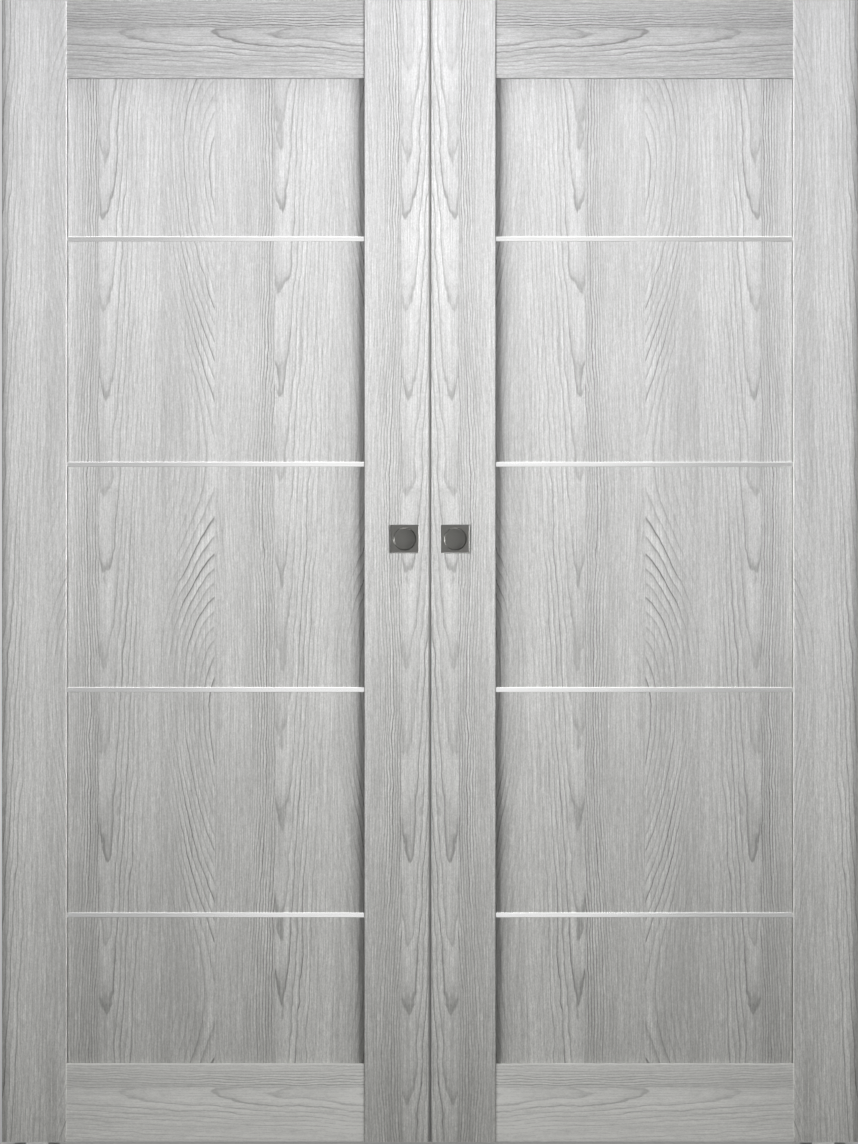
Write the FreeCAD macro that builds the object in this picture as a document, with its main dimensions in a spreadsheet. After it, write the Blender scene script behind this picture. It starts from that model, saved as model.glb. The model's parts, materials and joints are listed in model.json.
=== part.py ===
"""Double sliding door: two stile-and-rail leaves that part from the middle under one overhead track.

Millimetres, +Z up, +X along the track, front face towards -Y.
The origin is on the floor, under the middle of the closed pair.
"""
import FreeCAD, Part
import os
import re

import Sketcher

Vector = FreeCAD.Vector

# Driving dimensions: what each size is called and what it measures
SIZES = {
    # Leaves
    "leaf_width": 759.0,
    "leaf_height": 2032.0,
    "leaf_gap": 5.0,
    "floor_gap": 10.0,
    "exposed_width": 100.0,
    "stile_width": 114.5,
    "stile_thickness": 40.0,
    "rail_height": 139.0,
    "rail_thickness": 36.5,
    "panel_thickness": 22.0,
    "panel_line_width": 2.5,
    "panel_line_depth": 1.2,
    "tongue_depth": 12.0,
    "joint_clearance": 0.3,
    "arris_radius": 1.5,
    # Dowels in the corners of a leaf
    "dowel_diameter": 10.0,
    "dowel_length": 70.0,
    "dowel_spacing": 66.0,
    "dowel_clearance": 0.1,
    "blind_hole_gap": 0.6,
    # Metal strips across the panel
    "strip_count": 4,
    "strip_first": 403.0,
    "strip_pitch": 401.5,
    "strip_width": 8.5,
    "strip_rise": 1.6,
    "strip_edge": 0.6,
    "strip_line_width": 1.8,
    "strip_line_depth": 0.7,
    "strip_end_gap": 0.4,
    "stem_width": 4.0,
    "stem_depth": 6.0,
    "stem_clearance": 0.1,
    # Pile seals between the leaves
    "seal_width": 9.0,
    "seal_inset": 3.0,
    "seal_edge": 0.8,
    "seal_clearance": 0.3,
    # Flush pulls
    "pull_size": 51.0,
    "pull_plate": 2.5,
    "pull_corner": 1.8,
    "pull_edge": 1.4,
    "pull_height": 1073.0,
    "pull_backset": 42.5,
    "pull_clearance": 0.3,
    "cup_diameter": 40.0,
    "cup_depth": 9.0,
    "cup_wall": 1.5,
    "cup_lip": 0.6,
    "cup_corner": 2.0,
    "boss_diameter": 8.0,
    "boss_length": 14.0,
    "pull_screw_diameter": 4.0,
    "pull_screw_spacing": 24.0,
    "pull_screw_head": 7.6,
    "pull_screw_head_height": 2.4,
    "pull_screw_reach": 9.0,
    "pull_screw_socket": 2.5,
    "pull_screw_socket_depth": 1.4,
    "thread_clearance": 0.1,
    # Hanger plates and their wood screws
    "hanger_inset": 70.0,
    "hanger_gap": 20.0,
    "plate_length": 84.0,
    "plate_width": 30.0,
    "plate_thickness": 3.0,
    "saddle_length": 34.0,
    "saddle_height": 13.0,
    "plate_hole_inset": 12.0,
    "plate_hole_spacing": 16.0,
    "wood_screw_diameter": 4.0,
    "wood_screw_length": 35.0,
    "wood_screw_tip": 5.0,
    "wood_screw_point": 0.5,
    "wood_screw_head": 8.0,
    "wood_screw_head_top": 6.0,
    "wood_screw_head_height": 2.5,
    "wood_screw_socket": 3.0,
    "wood_screw_socket_depth": 1.4,
    # Hanger bolts and lock nuts
    "bolt_diameter": 8.0,
    "bolt_reach": 12.0,
    "bolt_hex": 13.0,
    "bolt_head_height": 5.3,
    "nut_height": 4.0,
    "bolt_slot_clearance": 0.3,
    # Trolleys
    "trolley_length": 58.0,
    "trolley_width": 12.0,
    "trolley_height": 16.0,
    "trolley_corner": 3.0,
    "axle_diameter": 5.0,
    "axle_spacing": 32.0,
    "axle_head_diameter": 8.0,
    "axle_head_thickness": 1.2,
    "axle_clearance": 0.05,
    "wheel_diameter": 20.0,
    "wheel_width": 6.0,
    "wheel_play": 0.4,
    "wheel_clearance": 0.2,
    "wheel_hub_diameter": 10.0,
    "wheel_rim_width": 2.5,
    "wheel_dish": 1.2,
    "wheel_edge": 0.5,
    # Track
    "track_wall": 2.5,
    "track_web": 4.0,
    "track_lip": 2.5,
    "track_slot": 14.0,
    "track_play": 1.0,
    "track_headroom": 2.5,
    "track_end_margin": 100.2,
    "track_hole_count": 8,
    "track_hole_diameter": 5.0,
    "track_hole_sink": 9.0,
    # Stops in the track
    "stop_block_length": 30.0,
    "stop_block_play": 0.5,
    "stop_headroom": 1.0,
    "stop_clearance": 0.3,
    "bumper_diameter": 12.0,
    "bumper_length": 14.0,
    "bumper_nose": 3.0,
    "bumper_stem_diameter": 5.0,
    "bumper_stem_length": 8.0,
    "bumper_stem_clearance": 0.1,
    "grub_diameter": 5.0,
    "grub_length": 14.0,
    "grub_inset": 8.0,
    "grub_socket": 2.5,
    "grub_socket_depth": 3.0,
    # Floor guides
    "guide_inset": 60.0,
    "guide_base_length": 80.0,
    "guide_base_width": 30.0,
    "guide_base_thickness": 3.5,
    "guide_corner": 4.0,
    "guide_hole_spacing": 60.0,
    "guide_hole_diameter": 4.5,
    "guide_hole_sink": 8.5,
    "guide_fin_length": 40.0,
    "guide_fin_thickness": 5.0,
    "guide_fin_edge": 1.0,
    "guide_engagement": 16.0,
    "guide_play": 0.7,
    "guide_top_gap": 4.0,
}

# Sizes that follow from the driving dimensions, as formulas on the sheet's names
OPENING_WIDTH = "(leaf_width - 2 * stile_width)"
OPENING_HEIGHT = "(leaf_height - 2 * rail_height)"
PANEL_WIDTH = f"({OPENING_WIDTH} + 2 * tongue_depth)"
PANEL_HEIGHT = f"({OPENING_HEIGHT} + 2 * tongue_depth)"
GROOVE_WIDTH = "(panel_thickness + 2 * joint_clearance)"
GROOVE_DEPTH = "(tongue_depth + joint_clearance)"
LEAF_TOP = "(floor_gap + leaf_height)"
LEAF_TRAVEL = "(leaf_width - exposed_width)"
OUTER_EDGE = "(leaf_gap / 2 + leaf_width)"
MEETING_EDGE = "(leaf_gap / 2)"
SEAL_THICKNESS = "(leaf_gap - seal_clearance)"
DOWEL_HOLE_DEPTH = "((dowel_length - joint_clearance) / 2 + blind_hole_gap)"
CUP_REACH = "(cup_depth + cup_wall)"
CUP_BORE = "(cup_diameter + 2 * cup_wall + 2 * pull_clearance)"
PULL_SCREW_HOLE = "(pull_screw_diameter + 2 * thread_clearance)"
WOOD_SCREW_HOLE = "(wood_screw_diameter + 2 * thread_clearance)"
GUIDE_GROOVE_WIDTH = "(guide_fin_thickness + 2 * guide_play)"
GUIDE_GROOVE_DEPTH = "(guide_engagement + guide_top_gap)"
TRACK_BOTTOM = f"({LEAF_TOP} + hanger_gap)"
RUNWAY = f"({TRACK_BOTTOM} + track_lip)"
CHANNEL_HEIGHT = "(wheel_clearance + wheel_diameter + track_headroom)"
TRACK_HEIGHT = f"(track_lip + {CHANNEL_HEIGHT} + track_web)"
AXLE_HEIGHT = f"({RUNWAY} + wheel_clearance + wheel_diameter / 2)"
AXLE_GRIP = "(trolley_width + 2 * wheel_width + 4 * wheel_play)"
CHANNEL_WIDTH = f"({AXLE_GRIP} + 2 * axle_head_thickness + 2 * track_play)"
TRACK_WIDTH = f"({CHANNEL_WIDTH} + 2 * track_wall)"
OUTER_HANGER = f"({OUTER_EDGE} - hanger_inset)"
INNER_HANGER = f"({MEETING_EDGE} + hanger_inset)"
END_BUMPER_FACE = f"({OUTER_HANGER} + {LEAF_TRAVEL} + trolley_length / 2 + stop_clearance)"
CENTRE_BUMPER_FACE = f"({INNER_HANGER} - trolley_length / 2 - stop_clearance)"
END_BLOCK_START = f"({END_BUMPER_FACE} + bumper_length)"
CENTRE_BLOCK_LENGTH = f"(2 * ({CENTRE_BUMPER_FACE} - bumper_length))"
TRACK_LENGTH = f"(2 * ({END_BLOCK_START} + stop_block_length + track_end_margin))"
TRACK_HOLE_PITCH = f"({TRACK_LENGTH} / track_hole_count)"
STOP_WIDTH = f"({CHANNEL_WIDTH} - 2 * stop_block_play)"
STOP_HEIGHT = f"({CHANNEL_HEIGHT} - stop_headroom)"
GUIDE_PLACE = f"({OUTER_EDGE} - guide_inset)"

# Each leaf mirrors the other about the middle of the track
SIDES = {"left": -1, "right": 1}
HANGERS = {"outer": OUTER_HANGER, "inner": INNER_HANGER}
AXLES = {"a": "-axle_spacing / 2", "b": "axle_spacing / 2"}

TURNED = FreeCAD.Rotation(Vector(0, 0, 1), 180)
UPSIDE_DOWN = FreeCAD.Rotation(Vector(1, 0, 0), 180)
ALONG_X = FreeCAD.Rotation(Vector(0, 1, 0), 90)
AGAINST_X = FreeCAD.Rotation(Vector(0, 1, 0), -90)
AGAINST_Y = FreeCAD.Rotation(Vector(1, 0, 0), 90)

doc = FreeCAD.newDocument("double_sliding_door")
sheet = doc.addObject("Spreadsheet::Sheet", "dims")
for row, (alias, number) in enumerate(SIZES.items(), start=1):
    sheet.set(f"A{row}", alias)
    sheet.set(f"B{row}", str(number))
    sheet.setAlias(f"B{row}", alias)
doc.recompute()

nodes = {}


# Formulas and placing

def on_sheet(formula):
    """The formula with each size's name pointed at its cell."""
    return re.sub(r"[a-z_]+", lambda word: f"dims.{word[0]}" if word[0] in SIZES else word[0], formula)


def amount(formula):
    """What a formula comes to now."""
    return float(sheet.evalExpression(on_sheet(formula)))


def bind(item, field, formula):
    item.setExpression(field, on_sheet(formula))


def place(item, x="0", y="0", z="0", turn=FreeCAD.Rotation()):
    """Put an object's own origin at x, y, z, turned about it."""
    item.Placement = FreeCAD.Placement(Vector(), turn)
    for axis, formula in zip("xyz", (x, y, z)):
        bind(item, f"Placement.Base.{axis}", formula)
    return item


def signed(sign, formula):
    """A distance from the middle of the track, on the left (-1) or the right (1)."""
    return formula if sign > 0 else f"-({formula})"


def node(label, item):
    """Keep an object as a sub-part under its own name."""
    item.Label = label
    nodes[label] = item
    return item


def group(label, members):
    """Several alike solids kept as one sub-part."""
    bundle = doc.addObject("Part::Compound", label)
    bundle.Links = members
    return node(label, bundle)


# Bodies, sketches and features

def new_body(label):
    return doc.addObject("PartDesign::Body", label)


def origin_feature(body, role):
    return next(item for item in body.Origin.OriginFeatures if item.Role == role)


def sketch_on(body, role, offset="0", flipped=False):
    """An empty sketch on one of the body's planes, moved along that plane's normal."""
    sketch = body.newObject("Sketcher::SketchObject", f"{body.Name}_sketch")
    sketch.AttachmentSupport = [(origin_feature(body, role), "")]
    sketch.MapMode = "FlatFace"
    if flipped:
        sketch.AttachmentOffset = FreeCAD.Placement(Vector(), UPSIDE_DOWN)
    bind(sketch, "AttachmentOffset.Base.z", offset)
    return sketch


def pin_point(sketch, geometry, point, x, y):
    """Hold a sketch point at x, y from the sketch's origin."""
    for kind, formula in (("DistanceX", x), ("DistanceY", y)):
        held = sketch.addConstraint(Sketcher.Constraint(kind, geometry, point, amount(formula)))
        bind(sketch, f"Constraints[{held}]", formula)


def add_outline(sketch, corners):
    """A closed outline of straight edges through corners given as formulas."""
    points = [Vector(amount(x), amount(y), 0) for x, y in corners]
    edges = [sketch.addGeometry(Part.LineSegment(start, end))
             for start, end in zip(points, points[1:] + points[:1])]
    for edge, following in zip(edges, edges[1:] + edges[:1]):
        sketch.addConstraint(Sketcher.Constraint("Coincident", edge, 2, following, 1))
    for edge, (x, y) in zip(edges, corners):
        pin_point(sketch, edge, 1, x, y)


def add_rectangle(sketch, left, low, right, high):
    add_outline(sketch, [(left, low), (right, low), (right, high), (left, high)])


def add_circle(sketch, x, y, diameter):
    centre = Vector(amount(x), amount(y), 0)
    circle = sketch.addGeometry(Part.Circle(centre, Vector(0, 0, 1), amount(diameter) / 2))
    pin_point(sketch, circle, 3, x, y)
    held = sketch.addConstraint(Sketcher.Constraint("Diameter", circle, amount(diameter)))
    bind(sketch, f"Constraints[{held}]", diameter)


def pad(body, sketch, length, backwards=False):
    feature = body.newObject("PartDesign::Pad", f"{body.Name}_pad")
    feature.Profile = sketch
    feature.Reversed = backwards
    bind(feature, "Length", length)
    doc.recompute()
    return feature


def check_cut(body, volume_before):
    if body.Shape.Volume >= volume_before:
        raise RuntimeError(f"a cut in {body.Name} removed nothing")


def pocket(body, sketch, length, backwards=False):
    """Cut a sketch into the body, against the sketch's normal unless backwards."""
    volume_before = body.Shape.Volume
    feature = body.newObject("PartDesign::Pocket", f"{body.Name}_pocket")
    feature.Profile = sketch
    feature.Reversed = backwards
    bind(feature, "Length", length)
    doc.recompute()
    check_cut(body, volume_before)
    return feature


def repeat(body, feature, axis, count, length):
    """Copies of a feature, evenly spaced over a length along one of the body's axes."""
    volume_before = body.Shape.Volume
    pattern = body.newObject("PartDesign::LinearPattern", f"{body.Name}_pattern")
    pattern.Originals = [feature]
    pattern.Direction = (origin_feature(body, axis), [""])
    bind(pattern, "Length", length)
    bind(pattern, "Occurrences", count)
    body.Tip = pattern
    doc.recompute()
    check_cut(body, volume_before)


def sunk_holes(body, sketch, diameter, sink_diameter):
    """Countersunk holes right through, at a sketch's circles."""
    volume_before = body.Shape.Volume
    doc.recompute()
    holes = body.newObject("PartDesign::Hole", f"{body.Name}_holes")
    holes.Profile = sketch
    doc.recompute()
    holes.DepthType = "ThroughAll"
    bind(holes, "Diameter", diameter)
    holes.HoleCutType = "Countersink"
    bind(holes, "HoleCutDiameter", sink_diameter)
    holes.HoleCutCountersinkAngle = 90
    doc.recompute()
    check_cut(body, volume_before)


def round_edges(body, radius, wanted):
    """Round the edges of the body's last feature that the test wanted(edge) picks."""
    base = body.Tip
    names = [f"Edge{number}" for number, edge in enumerate(base.Shape.Edges, start=1) if wanted(edge)]
    feature = body.newObject("PartDesign::Fillet", f"{body.Name}_round")
    feature.Base = (base, names)
    bind(feature, "Radius", radius)
    doc.recompute()


def near(first, second):
    return abs(first - second) < 1e-4


def is_straight_at(edge, **at):
    """Whether a straight edge holds the given coordinates along its whole length."""
    ends = [vertex.Point for vertex in edge.Vertexes]
    straight = isinstance(edge.Curve, (Part.Line, Part.LineSegment))
    return straight and all(near(getattr(end, axis), value) for end in ends for axis, value in at.items())


def is_circle_at(edge, radius, **at):
    """Whether an edge is a circle of that radius with its centre at the given coordinates."""
    if not isinstance(edge.Curve, Part.Circle) or not near(edge.Curve.Radius, radius):
        return False
    return all(near(getattr(edge.Curve.Center, axis), value) for axis, value in at.items())


# Plain turned and hexagonal solids

def cylinder(name, diameter, length):
    solid = doc.addObject("Part::Cylinder", name)
    bind(solid, "Radius", f"({diameter}) / 2")
    bind(solid, "Height", length)
    return solid


def cone(name, base_diameter, end_diameter, length):
    solid = doc.addObject("Part::Cone", name)
    bind(solid, "Radius1", f"({base_diameter}) / 2")
    bind(solid, "Radius2", f"({end_diameter}) / 2")
    bind(solid, "Height", length)
    return solid


def hexagon(name, across_flats, length):
    solid = doc.addObject("Part::Prism", name)
    solid.Polygon = 6
    bind(solid, "Circumradius", f"({across_flats}) / sqrt(3)")
    bind(solid, "Height", length)
    return solid


def fuse(name, pieces):
    joined = doc.addObject("Part::MultiFuse", name)
    joined.Shapes = pieces
    joined.Refine = True
    return joined


def cut(name, solid, tool):
    result = doc.addObject("Part::Cut", name)
    result.Base = solid
    result.Tool = tool
    return result


# Leaf frame

def make_stile(label, has_pull):
    """A stile with its outer edge at x = 0, its front at y = 0 and its foot at z = 0."""
    body = new_body(label)
    groove_low = f"(stile_thickness - {GROOVE_WIDTH}) / 2"
    groove_high = f"(stile_thickness + {GROOVE_WIDTH}) / 2"
    groove_floor = f"stile_width - {GROOVE_DEPTH}"
    profile = sketch_on(body, "XY_Plane")
    add_outline(profile, [
        ("0", "0"), ("stile_width", "0"), ("stile_width", groove_low), (groove_floor, groove_low),
        (groove_floor, groove_high), ("stile_width", groove_high),
        ("stile_width", "stile_thickness"), ("0", "stile_thickness")])
    pad(body, profile, "leaf_height")
    corners = [(x, y) for x in (0, amount("stile_width")) for y in (0, amount("stile_thickness"))]
    round_edges(body, "arris_radius",
                lambda edge: any(is_straight_at(edge, x=x, y=y) for x, y in corners))
    cut_guide_groove(body, "0", "stile_width", "stile_thickness")

    dowel_holes = sketch_on(body, "YZ_Plane", groove_floor)
    for height in ("rail_height / 2", "leaf_height - rail_height / 2"):
        for step in ("- dowel_spacing / 2", "+ dowel_spacing / 2"):
            add_circle(dowel_holes, "stile_thickness / 2", f"{height} {step}",
                       "dowel_diameter + 2 * dowel_clearance")
    pocket(body, dowel_holes, DOWEL_HOLE_DEPTH)

    screw_holes = sketch_on(body, "XY_Plane", "leaf_height")
    for x, y in plate_hole_places("hanger_inset", "stile_thickness / 2"):
        add_circle(screw_holes, x, y, WOOD_SCREW_HOLE)
    pocket(body, screw_holes, "wood_screw_length - plate_thickness + blind_hole_gap")

    if has_pull:
        cut_pull_bores(body)
    return body


def cut_guide_groove(body, start, end, thickness):
    """The slot in the leaf's bottom edge that a floor guide's fin runs in."""
    groove = sketch_on(body, "XY_Plane")
    add_rectangle(groove, start, f"({thickness} - {GUIDE_GROOVE_WIDTH}) / 2",
                  end, f"({thickness} + {GUIDE_GROOVE_WIDTH}) / 2")
    pocket(body, groove, GUIDE_GROOVE_DEPTH, backwards=True)


def cut_pull_bores(body):
    """A round bore in each face for a pull's cup, and the bores that its screws pass between them."""
    bore_depth = f"{CUP_REACH} + pull_clearance"
    for offset, backwards in (("0", False), ("-stile_thickness", True)):
        bore = sketch_on(body, "XZ_Plane", offset)
        add_circle(bore, "pull_backset", "pull_height", CUP_BORE)
        pocket(body, bore, bore_depth, backwards)
    screw_bores = sketch_on(body, "XZ_Plane")
    for step in ("- pull_screw_spacing / 2", "+ pull_screw_spacing / 2"):
        add_circle(screw_bores, "pull_backset", f"pull_height {step}", "boss_diameter + 2 * pull_clearance")
    pocket(body, screw_bores, "stile_thickness")


def make_rail(label, has_guide_groove):
    """A rail with stub tenons; its tenon starts at x = 0, its outer edge is at z = 0."""
    body = new_body(label)
    groove_low = f"(rail_thickness - {GROOVE_WIDTH}) / 2"
    groove_high = f"(rail_thickness + {GROOVE_WIDTH}) / 2"
    groove_floor = f"rail_height - {GROOVE_DEPTH}"
    profile = sketch_on(body, "YZ_Plane", "tongue_depth")
    add_outline(profile, [
        ("0", "0"), ("rail_thickness", "0"), ("rail_thickness", "rail_height"),
        (groove_high, "rail_height"), (groove_high, groove_floor), (groove_low, groove_floor),
        (groove_low, "rail_height"), ("0", "rail_height")])
    pad(body, profile, OPENING_WIDTH)
    corners = [(y, z) for y in (0, amount("rail_thickness")) for z in (0, amount("rail_height"))]
    round_edges(body, "arris_radius",
                lambda edge: any(is_straight_at(edge, y=y, z=z) for y, z in corners))

    tenon = sketch_on(body, "YZ_Plane")
    add_rectangle(tenon, "(rail_thickness - panel_thickness) / 2", "0",
                  "(rail_thickness + panel_thickness) / 2", groove_floor)
    pad(body, tenon, PANEL_WIDTH)
    if has_guide_groove:
        cut_guide_groove(body, "0", PANEL_WIDTH, "rail_thickness")

    for end, backwards in (("0", True), (PANEL_WIDTH, False)):
        dowel_holes = sketch_on(body, "YZ_Plane", end)
        for step in ("- dowel_spacing / 2", "+ dowel_spacing / 2"):
            add_circle(dowel_holes, "rail_thickness / 2", f"rail_height / 2 {step}",
                       "dowel_diameter + 2 * dowel_clearance")
        pocket(body, dowel_holes, DOWEL_HOLE_DEPTH, backwards)
    return body


def make_panel(label):
    """The panel with its tongues; each face has a shadow line by both stiles and grooves for the stems."""
    body = new_body(label)
    board = sketch_on(body, "XY_Plane")
    add_rectangle(board, "0", "0", PANEL_WIDTH, "panel_thickness")
    pad(body, board, PANEL_HEIGHT)
    opening_end = f"(tongue_depth + {OPENING_WIDTH})"
    middle = "(strip_first - rail_height + tongue_depth)"
    half_groove = "(stem_width / 2 + stem_clearance)"
    for offset, backwards in (("0", False), ("-panel_thickness", True)):
        lines = sketch_on(body, "XZ_Plane", offset)
        add_rectangle(lines, "tongue_depth", "0", "tongue_depth + panel_line_width", PANEL_HEIGHT)
        add_rectangle(lines, f"{opening_end} - panel_line_width", "0", opening_end, PANEL_HEIGHT)
        pocket(body, lines, "panel_line_depth", backwards)
        groove = sketch_on(body, "XZ_Plane", offset)
        add_rectangle(groove, "tongue_depth", f"{middle} - {half_groove}",
                      opening_end, f"{middle} + {half_groove}")
        first = pocket(body, groove, "stem_depth + stem_clearance", backwards)
        repeat(body, first, "Z_Axis", "strip_count", "(strip_count - 1) * strip_pitch")
    return body


def make_strip(label):
    """A T-section strip: a flat cap with a fine line along it, and a stem that goes into the panel."""
    body = new_body(label)
    line_low = "(strip_width - strip_line_width) / 2"
    line_high = "(strip_width + strip_line_width) / 2"
    stem_low = "(strip_width - stem_width) / 2"
    stem_high = "(strip_width + stem_width) / 2"
    stem_end = "strip_rise + stem_depth"
    section = sketch_on(body, "YZ_Plane")
    add_outline(section, [
        ("0", "0"), ("0", line_low), ("strip_line_depth", line_low), ("strip_line_depth", line_high),
        ("0", line_high), ("0", "strip_width"), ("strip_rise", "strip_width"), ("strip_rise", stem_high),
        (stem_end, stem_high), (stem_end, stem_low), ("strip_rise", stem_low), ("strip_rise", "0")])
    pad(body, section, f"{OPENING_WIDTH} - 2 * strip_end_gap")
    width = amount("strip_width")
    round_edges(body, "strip_edge",
                lambda edge: is_straight_at(edge, y=0, z=0) or is_straight_at(edge, y=0, z=width))
    return body


def leaf_left_edge(sign):
    return f"-{OUTER_EDGE}" if sign < 0 else MEETING_EDGE


def add_leaf_frame(side, sign):
    outer = node(f"{side}_stile_outer", make_stile(f"{side}_stile_outer", has_pull=False))
    meeting = node(f"{side}_stile_meeting", make_stile(f"{side}_stile_meeting", has_pull=True))
    for stile, edge, faces_right in ((outer, OUTER_EDGE, sign < 0), (meeting, MEETING_EDGE, sign > 0)):
        if faces_right:
            place(stile, signed(sign, edge), "-stile_thickness / 2", "floor_gap")
        else:
            place(stile, signed(sign, edge), "stile_thickness / 2", "floor_gap", TURNED)

    tenon_start = f"{leaf_left_edge(sign)} + stile_width - tongue_depth"
    bottom = node(f"{side}_rail_bottom", make_rail(f"{side}_rail_bottom", has_guide_groove=True))
    place(bottom, tenon_start, "-rail_thickness / 2", "floor_gap")
    top = node(f"{side}_rail_top", make_rail(f"{side}_rail_top", has_guide_groove=False))
    place(top, tenon_start, "rail_thickness / 2", LEAF_TOP, UPSIDE_DOWN)
    panel = node(f"{side}_panel", make_panel(f"{side}_panel"))
    place(panel, tenon_start, "-panel_thickness / 2", "floor_gap + rail_height - tongue_depth")


def add_strips(side, sign):
    """Strips on the front as sub-parts of their own, those on the back as one group."""
    opening_start = f"{leaf_left_edge(sign)} + stile_width"
    face = "panel_thickness / 2 + strip_rise"
    back_strips = []
    for number in range(int(amount("strip_count"))):
        low = f"floor_gap + strip_first + {number} * strip_pitch - strip_width / 2"
        label = f"{side}_strip_front_{number + 1}"
        front = node(label, make_strip(label))
        place(front, f"{opening_start} + strip_end_gap", f"-({face})", low)
        back = make_strip(f"{side}_strip_back_{number + 1}")
        place(back, f"{opening_start} + {OPENING_WIDTH} - strip_end_gap", face, low, TURNED)
        back_strips.append(back)
    group(f"{side}_strips_back", back_strips)


def add_dowels(side, sign):
    dowels = []
    tenon_ends = ("stile_width - tongue_depth", "leaf_width - stile_width + tongue_depth")
    for shoulder, away in zip(tenon_ends, ("-", "+")):
        joint = f"{leaf_left_edge(sign)} + {shoulder} {away} joint_clearance / 2"
        for height in ("rail_height / 2", "leaf_height - rail_height / 2"):
            for step in ("- dowel_spacing / 2", "+ dowel_spacing / 2"):
                dowel = cylinder(f"{side}_dowel", "dowel_diameter", "dowel_length")
                place(dowel, f"{joint} - dowel_length / 2", "0", f"floor_gap + {height} {step}", ALONG_X)
                dowels.append(dowel)
    group(f"{side}_dowels", dowels)


def make_seal(label):
    """A pile strip that stands out along +X from the edge it is stuck to, with its free corners rounded."""
    body = new_body(label)
    section = sketch_on(body, "XY_Plane")
    add_rectangle(section, "0", "0", SEAL_THICKNESS, "seal_width")
    pad(body, section, "leaf_height")
    free_edge = amount(SEAL_THICKNESS)
    width = amount("seal_width")
    round_edges(body, "seal_edge",
                lambda edge: any(is_straight_at(edge, x=free_edge, y=y) for y in (0, width)))
    return body


def add_meeting_seals():
    """Two seals down the left leaf's meeting edge, which close the gap to the right leaf."""
    front = "-stile_thickness / 2 + seal_inset"
    back = "stile_thickness / 2 - seal_inset - seal_width"
    group("left_meeting_seals", [
        place(make_seal("left_meeting_seal"), f"-{MEETING_EDGE}", y, "floor_gap") for y in (front, back)])


# Flush pulls

def make_pull(label, has_bosses):
    """A square plate with a round cup behind it; its back lies on the stile at y = 0, facing -Y."""
    body = new_body(label)
    half = "pull_size / 2"
    plate = sketch_on(body, "XZ_Plane")
    add_rectangle(plate, f"-{half}", f"-{half}", half, half)
    pad(body, plate, "pull_plate")
    half_size = amount(half)
    sides = [(x, z) for x in (-half_size, half_size) for z in (-half_size, half_size)]
    round_edges(body, "pull_corner", lambda edge: any(is_straight_at(edge, x=x, z=z) for x, z in sides))
    face = -amount("pull_plate")
    round_edges(body, "pull_edge",
                lambda edge: all(near(vertex.Point.y, face) for vertex in edge.Vertexes))

    cup = sketch_on(body, "XZ_Plane")
    add_circle(cup, "0", "0", "cup_diameter + 2 * cup_wall")
    pad(body, cup, CUP_REACH, backwards=True)
    hollow = sketch_on(body, "XZ_Plane", "pull_plate")
    add_circle(hollow, "0", "0", "cup_diameter")
    pocket(body, hollow, "pull_plate + cup_depth")
    cup_radius = amount("cup_diameter / 2")
    floor = amount("cup_depth")
    round_edges(body, "cup_lip", lambda edge: is_circle_at(edge, cup_radius, y=face))
    round_edges(body, "cup_corner", lambda edge: is_circle_at(edge, cup_radius, y=floor))
    if has_bosses:
        add_bosses(body)
    else:
        cut_screw_holes(body)
    return body


def pull_screw_steps():
    return ("-pull_screw_spacing / 2", "pull_screw_spacing / 2")


def add_bosses(body):
    """Two threaded bosses behind the cup."""
    bosses = sketch_on(body, "XZ_Plane", f"-{CUP_REACH}")
    for step in pull_screw_steps():
        add_circle(bosses, "0", step, "boss_diameter")
    pad(body, bosses, "boss_length", backwards=True)
    threads = sketch_on(body, "XZ_Plane", f"-({CUP_REACH} + boss_length)")
    for step in pull_screw_steps():
        add_circle(threads, "0", step, PULL_SCREW_HOLE)
    pocket(body, threads, "boss_length - cup_wall", backwards=True)


def cut_screw_holes(body):
    """Two holes in the cup's floor for the screws."""
    holes = sketch_on(body, "XZ_Plane", "-cup_depth")
    for step in pull_screw_steps():
        add_circle(holes, "0", step, PULL_SCREW_HOLE)
    pocket(body, holes, "cup_wall")


def make_pull_screw(name):
    """A socket-head screw whose head sits on z = 0 and whose shank runs up from there."""
    web = f"(stile_thickness - 2 * {CUP_REACH})"
    shank_length = f"cup_wall + {web} - boss_length + pull_screw_reach"
    shank = cylinder(f"{name}_shank", "pull_screw_diameter", shank_length)
    head = cylinder(f"{name}_head", "pull_screw_head", "pull_screw_head_height")
    place(head, z="-pull_screw_head_height")
    socket = hexagon(f"{name}_socket", "pull_screw_socket", "pull_screw_socket_depth")
    place(socket, z="-pull_screw_head_height")
    return cut(name, fuse(f"{name}_blank", [shank, head]), socket)


def add_pulls(side, sign):
    x = signed(sign, f"{MEETING_EDGE} + pull_backset")
    z = "floor_gap + pull_height"
    front = node(f"{side}_pull_front", make_pull(f"{side}_pull_front", has_bosses=True))
    place(front, x, "-stile_thickness / 2", z)
    back = node(f"{side}_pull_back", make_pull(f"{side}_pull_back", has_bosses=False))
    place(back, x, "stile_thickness / 2", z, TURNED)
    screws = []
    for step in pull_screw_steps():
        screw = make_pull_screw(f"{side}_pull_screw")
        place(screw, x, "stile_thickness / 2 - cup_depth", f"{z} + {step}", AGAINST_Y)
        screws.append(screw)
    group(f"{side}_pull_screws", screws)


# Hangers

def plate_hole_places(x, y):
    """The centres of a hanger plate's four screw holes around the plate's middle."""
    reach = "(plate_length / 2 - plate_hole_inset)"
    half = "plate_hole_spacing / 2"
    return [(f"{x} {side} {reach}", f"{y} {step} {half}") for side in "-+" for step in "-+"]


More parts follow.
